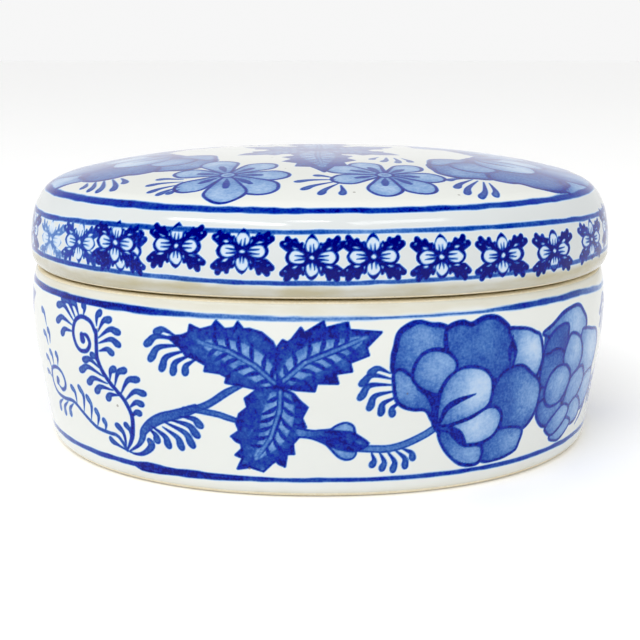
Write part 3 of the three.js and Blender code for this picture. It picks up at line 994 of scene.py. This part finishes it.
class Nodes:
    """The node tree of a new material or world, with the plain calls that those below are made of."""

    def __init__(self, owner, shader="Principled BSDF"):
        owner.use_nodes = True
        self.owner = owner
        self.tree = owner.node_tree
        self.shader = self.tree.nodes[shader]

    def put(self, socket, value):
        """Links a socket to another one, or sets it to a plain value."""
        if isinstance(value, bpy.types.NodeSocket):
            self.tree.links.new(value, socket)
        else:
            socket.default_value = value

    def finish(self, **inputs):
        """Sets the shader's inputs, named with _ for a space."""
        for name, value in inputs.items():
            self.put(self.shader.inputs[name.replace("_", " ")], value)
        return self.owner

    def add(self, kind, inputs=(), **settings):
        """A node, with its inputs in order, or by name."""
        node = self.tree.nodes.new(kind)
        for key, value in settings.items():
            setattr(node, key, value)
        for key, value in inputs.items() if isinstance(inputs, dict) else enumerate(inputs):
            self.put(node.inputs[key], value)
        return node.outputs

    def place(self):
        return self.add("ShaderNodeTexCoord")["Object"]

    def noise(self, size, detail=2.0, stretch=(1, 1, 1)):
        """Noise from 0 to 1 in patches of about size mm."""
        scaled = self.add("ShaderNodeVectorMath", (self.place(), stretch), operation="MULTIPLY")[0]
        inputs = {"Vector": scaled, "Scale": 1 / (size * MM), "Detail": detail}
        return self.add("ShaderNodeTexNoise", inputs)["Fac"]

    def times(self, *values, clamp=False):
        return self.add("ShaderNodeMath", values, operation="MULTIPLY", use_clamp=clamp)[0]

    def below(self, value, limit):
        return self.add("ShaderNodeMath", (value, limit), operation="LESS_THAN")[0]

    def span(self, value, low, high, out_low, out_high):
        return self.add("ShaderNodeMapRange", (value, low, high, out_low, out_high))[0]

    def uneven(self, size, detail, low, high):
        """Noise from low to high."""
        return self.span(self.noise(size, detail), 0.3, 0.7, low, high)

    def mix(self, share, first, second, blend="MIX"):
        inputs = {"Factor": share, "A": first, "B": second}
        return self.add("ShaderNodeMix", inputs, data_type="RGBA", blend_type=blend)["Result"]

    def ramp(self, value, stops):
        color = self.add("ShaderNodeValToRGB", (value,))["Color"]
        elements = color.node.color_ramp.elements
        elements[0].position, elements[0].color = stops[0][0], linear(stops[0][1])
        elements[1].position, elements[1].color = stops[-1][0], linear(stops[-1][1])
        for position, code in stops[1:-1]:
            elements.new(position).color = linear(code)
        return color

    def attribute(self, name):
        return self.add("ShaderNodeAttribute", attribute_name=name)["Fac"]

    def specks(self, size, share):
        """Scattered dots: 1 inside a dot. Share is how many of the cells of some size mm hold one."""
        cells = self.add("ShaderNodeTexVoronoi", {"Vector": self.place(), "Scale": 1 / (size * MM)})
        red = self.add("ShaderNodeSeparateColor", (cells["Color"],))[0]
        return self.times(self.below(cells["Distance"], SPECK_RADIUS), self.below(red, share))

    def bump(self, height, depth, under=None):
        """Relief of some depth in mm, over another relief."""
        inputs = {"Strength": 1.0, "Distance": depth * MM, "Height": height}
        if under:
            inputs["Normal"] = under
        return self.add("ShaderNodeBump", inputs)["Normal"]


SPECK_RADIUS = 0.09  # as a share of a cell
INK_STOPS = [
    (0.0, "#dfe1dd"), (0.12, "#c8d4e1"), (0.25, "#a5bfde"), (0.4, "#759acb"), (0.55, "#4470b3"),
    (0.7, "#1e4b9f"), (0.82, "#0d3492"), (0.9, "#031f9c"), (0.95, "#031482"), (1.0, "#01036c"),
]


def glaze(name, painted=False, whites=("#dfe1dc", "#dadcd7")):
    """A clear glossy glaze over white porcelain, with cobalt under it where the piece is painted."""
    n = Nodes(bpy.data.materials.new(name))
    color = n.mix(n.noise(22, 3), *(linear(white) for white in whites))
    if painted:
        grain = n.uneven(0.45, 3, 0.86, 1.1)
        pooling = n.uneven(2.4, 2, 0.94, 1.05)
        ink = n.times(n.times(n.attribute("ink"), grain), pooling, clamp=True)
        color = n.mix(n.times(ink, 12, clamp=True), color, n.ramp(ink, INK_STOPS))
    streaks = n.span(n.noise(3.5, 3, stretch=(0.4, 0.4, 1.6)), 0.3, 0.7, 0.45, 1)
    # Darkens by the cream attribute: thin cream glaze, and on the lid's band also painted shade under the
    # rim.
    color = n.mix(n.times(n.attribute("cream"), streaks), color, linear("#e2d5b4"), "MULTIPLY")
    color = n.mix(n.times(n.specks(3.1, 0.05), 0.55), color, linear("#5b5348"))
    ripple = n.bump(n.noise(9, 2), 0.05)
    ripple = n.bump(n.times(n.attribute("cream"), n.noise(0.6, 4)), 0.09, ripple)
    normal = n.bump(n.noise(1.1, 2), 0.003, ripple)
    return n.finish(Base_Color=color, Roughness=n.uneven(4, 3, 0.07, 0.13), IOR=1.45, Normal=normal)


def bare_porcelain():
    """Unglazed fired porcelain: chalky, cream, with grit and a few iron spots."""
    n = Nodes(bpy.data.materials.new("bare_porcelain"))
    color = n.mix(n.noise(6, 4), linear("#e9e0c8"), linear("#d8cbab"))
    color = n.mix(n.span(n.noise(0.5, 4), 0.45, 0.75, 0, 0.5), color, linear("#f3efe2"))
    color = n.mix(n.times(n.specks(1.3, 0.16), 0.6), color, linear("#7d6444"))
    grit = n.bump(n.noise(0.45, 5), 0.06)
    normal = n.bump(n.noise(5, 2), 0.08, grit)
    return n.finish(Base_Color=color, Roughness=n.uneven(0.7, 3, 0.5, 0.75), Normal=normal)


# ---------------------------------------------------------------- the pieces

def finish_piece(piece, material, body, node=None):
    piece.data.materials.append(material)
    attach(piece, body)
    if node:
        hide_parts(node)


def settle(surface):
    """The lid sits a little to one side, and its lower edge isn't quite flat."""
    low = 1 - smoothstep((surface.points[:, 2] - RIM) / 5)
    surface.points[:, 2] += EDGE_BOW * low * np.sin(surface.angles) ** 2
    surface.points[:, 0] += LID_LEAN
    return surface


def bowed(surface):
    """The base's seat isn't quite flat either."""
    high = smoothstep((surface.points[:, 2] - (SEAT - 3.2)) / 2.6)
    surface.points[:, 2] += SEAT_BOW * high * np.sin(surface.angles) ** 2
    return surface


def base_cream(skin):
    """How far the glaze runs thin and cream, at the base's seat and at its foot."""
    u, height = girth(skin.angles), skin.points[:, 2]
    edge = height + 0.5 * cloud(u, 0 * u, 9, 31, GIRTH) + 0.25 * cloud(u, height * 2, 2.2, 32, GIRTH)
    return 0.45 * smoothstep((edge - (SEAT - 2.2)) / 1.2) + 0.35 * smoothstep((2.6 - edge) / 2.2)


def band_cream_shade_and_highlight(skin):
    """How far the glaze runs thin and cream at the lid's rim, made deeper there as painted shade under the
    lid's edge, and cleared again in the last millimetre as a painted highlight along the edge.
    """
    u, height = girth(skin.angles), skin.points[:, 2]
    edge = height + 0.4 * cloud(u, 0 * u, 8, 41, GIRTH) + 0.3 * cloud(u, height * 2, 2.4, 42, GIRTH)
    # The first factor is cream glaze with painted shade in it; the second lightens the last millimetre as a
    # painted highlight.
    return smoothstep((RIM + 4 - edge) / 1.4) * (0.4 + 0.6 * smoothstep((height - RIM - 0.9) / 0.4))


def make_base(bare, painted, plain):
    outside, inside = base_outside(), base_inside()
    recess_edge = (FOOT_INNER - FOOT_RECESS, FOOT_RECESS)
    profile = chain(recess_edge, (FOOT_INNER, 0), outside, base_lip(), inside)
    body = Surface(respaced(profile, BODY_STEP), BODY_QUARTER, flat(FOOT_RECESS), flat(FLOOR))
    finish_piece(build("base_body", bowed(body), SHARP), bare, "base", "base")

    walls = respaced(outside)
    glazed = (walls[:, 1] > 0.7) & (walls[:, 1] < SEAT - 0.25)
    skin = bowed(Surface(raised(walls[glazed]), SKIN_QUARTER))
    ink = side_ink(paint_base(), skin, [BASE_TOP_LINE, BASE_LOW_LINE])
    piece = build("base_glaze_outside", skin, ink=ink, cream=base_cream(skin))
    finish_piece(piece, painted, "base")

    bowl = raised(respaced(inside, CLEAR_STEP), last_edge=False)
    skin = bowed(Surface(bowl, BODY_QUARTER, None, flat(FLOOR + GLAZE)))
    finish_piece(build("base_glaze_inside", skin), plain, "base")
    under = raised(respaced(chain((48, FOOT_RECESS), recess_edge), 0.3), first_edge=False)
    skin = Surface(under, BODY_QUARTER, flat(FOOT_RECESS - GLAZE))
    finish_piece(build("base_glaze_underside", skin), plain, "base")


def make_lid(bare, painted, shaded, plain):
    inside, outside = lid_inside(), lid_outside()
    inner_radius, inner_height = inside[0]

    def crown_inside(radius):
        return inner_height + DOME_RISE * (1 - (radius / inner_radius) ** 3)

    rim = chain((RIM_INNER, RIM + 0.6), (57.6, RIM), (RIM_OUTER, RIM))
    profile = respaced(chain(inside, rim, outside), BODY_STEP)
    body = settle(Surface(profile, BODY_QUARTER, crown_inside, dome_height))
    finish_piece(build("lid_body", body, SHARP), bare, "lid", "lid")

    walls = respaced(outside)
    walls = raised(walls[walls[:, 1] > RIM + 0.35], last_edge=False)
    split = np.flatnonzero((walls[:, 1] > BAND_TOP) & (walls[:, 0] < DOME_LINE_RADIUS))[0]
    skin = settle(Surface(walls[: split + 1], SKIN_QUARTER))
    ink = side_ink(paint_band(), skin, [DOME_LINE, BAND_TOP_LINE, BAND_LOW_LINE])
    piece = build("lid_glaze_band", skin, ink=ink, cream=band_cream_shade_and_highlight(skin))
    finish_piece(piece, shaded, "lid")

    skin = settle(Surface(walls[split:], SKIN_QUARTER, None, lambda r: dome_height(r) + GLAZE))
    piece = build("lid_glaze_dome", skin, ink=dome_ink(paint_dome(), skin))
    finish_piece(piece, painted, "lid")

    hollow = raised(respaced(inside, CLEAR_STEP), first_edge=False)
    skin = settle(Surface(hollow, BODY_QUARTER, lambda r: crown_inside(r) - GLAZE))
    finish_piece(build("lid_glaze_inside", skin), plain, "lid")


# ---------------------------------------------------------------- the studio

def look_at(thing, target):
    thing.rotation_mode = "QUATERNION"
    thing.rotation_quaternion = (Vector(target) - thing.location).to_track_quat("-Z", "Y")


def make_camera():
    data = bpy.data.cameras.new("camera")
    data.lens = 59.6
    data.sensor_width = 36
    data.clip_start = 0.01
    distance, elevation = 0.234, math.radians(14.1)
    target = Vector((0.0003, 0, 0.02085))
    place = target + distance * Vector((0, -math.cos(elevation), math.sin(elevation)))
    camera = add_object("camera", data, place)
    look_at(camera, target)
    bpy.context.scene.camera = camera


def make_floor():
    """A round pale floor, faintly mottled, and lit a little from within like a light table."""
    steps, radius = 96, 12.0
    angles = np.arange(steps) * (2 * math.pi / steps)
    mesh = bpy.data.meshes.new("floor")
    mesh.from_pydata([(radius * math.cos(a), radius * math.sin(a), 0) for a in angles], [], [range(steps)])
    n = Nodes(bpy.data.materials.new("floor"))
    color = n.mix(n.noise(60, 2), linear("#fbfbfa"), linear("#f8f8f8"))
    n.finish(Base_Color=color, Roughness=0.6, Emission_Color=(1, 1, 1, 1), Emission_Strength=0.06)
    mesh.materials.append(n.owner)
    floor = add_object("floor", mesh)


def make_lamp(name, place, power, mirrored, size):
    """A soft rectangular lamp. Only a mirrored one shows in the glaze."""
    data = bpy.data.lights.new(name, "AREA")
    data.shape = "RECTANGLE"
    data.size, data.size_y = size
    data.energy = power
    lamp = add_object(name, data, place)
    lamp.visible_glossy = mirrored
    look_at(lamp, (0, 0, 0.03))


def make_overhead():
    """Broad light from above without fall-off, like a large softbox seen from a small object."""
    data = bpy.data.lights.new("overhead", "SUN")
    data.energy = OVERHEAD * math.pi
    data.angle = math.radians(50)
    lamp = add_object("overhead", data, (-0.3, -0.25, 1))
    lamp.visible_glossy = False
    look_at(lamp, (0, 0, 0))


def make_world():
    """White all round at the horizon, as a paper sweep is, and dimmer above it, where the lamps hang."""
    n = Nodes(bpy.data.worlds.new("studio"), "Background")
    direction = n.add("ShaderNodeTexCoord")["Generated"]
    height = n.add("ShaderNodeSeparateXYZ", (direction,))["Z"]
    n.finish(Color=(1, 1, 1, 1), Strength=n.span(height, 0.12, 0.42, SWEEP, CEILING))
    bpy.context.scene.world = n.owner


def set_contrast():
    view = bpy.context.scene.view_settings
    view.view_transform = "Standard"
    view.use_curve_mapping = True
    view.curve_mapping.black_level = (BLACK_POINT,) * 3
    view.curve_mapping.update()


def make_studio():
    make_world()
    set_contrast()
    make_overhead()
    make_lamp("front", (-0.25, -1.15, 1.3), 2.2, False, size=(1.2, 0.6))
    make_lamp("strip", (-0.5, -0.7, 0.95), 2.8, True, size=(0.8, 0.1))
    make_lamp("small strip", (-0.04, -0.7, 0.95), 0.25, True, size=(0.16, 0.03))
    make_lamp("right strip", (0.4, -0.7, 0.95), 1.2, True, size=(0.6, 0.14))
    make_floor()


make_camera()
make_studio()
bare = bare_porcelain()
painted = glaze("cobalt_under_glaze", painted=True)
# The lid's band takes the same glaze with darker whites: painted shade on the band and its shoulder.
shaded = glaze("cobalt_under_glaze_painted_shade", painted=True, whites=("#d0d4d4", "#cbcfcf"))
plain = glaze("clear_glaze")
make_base(bare, painted, plain)
make_lid(bare, painted, shaded, plain)
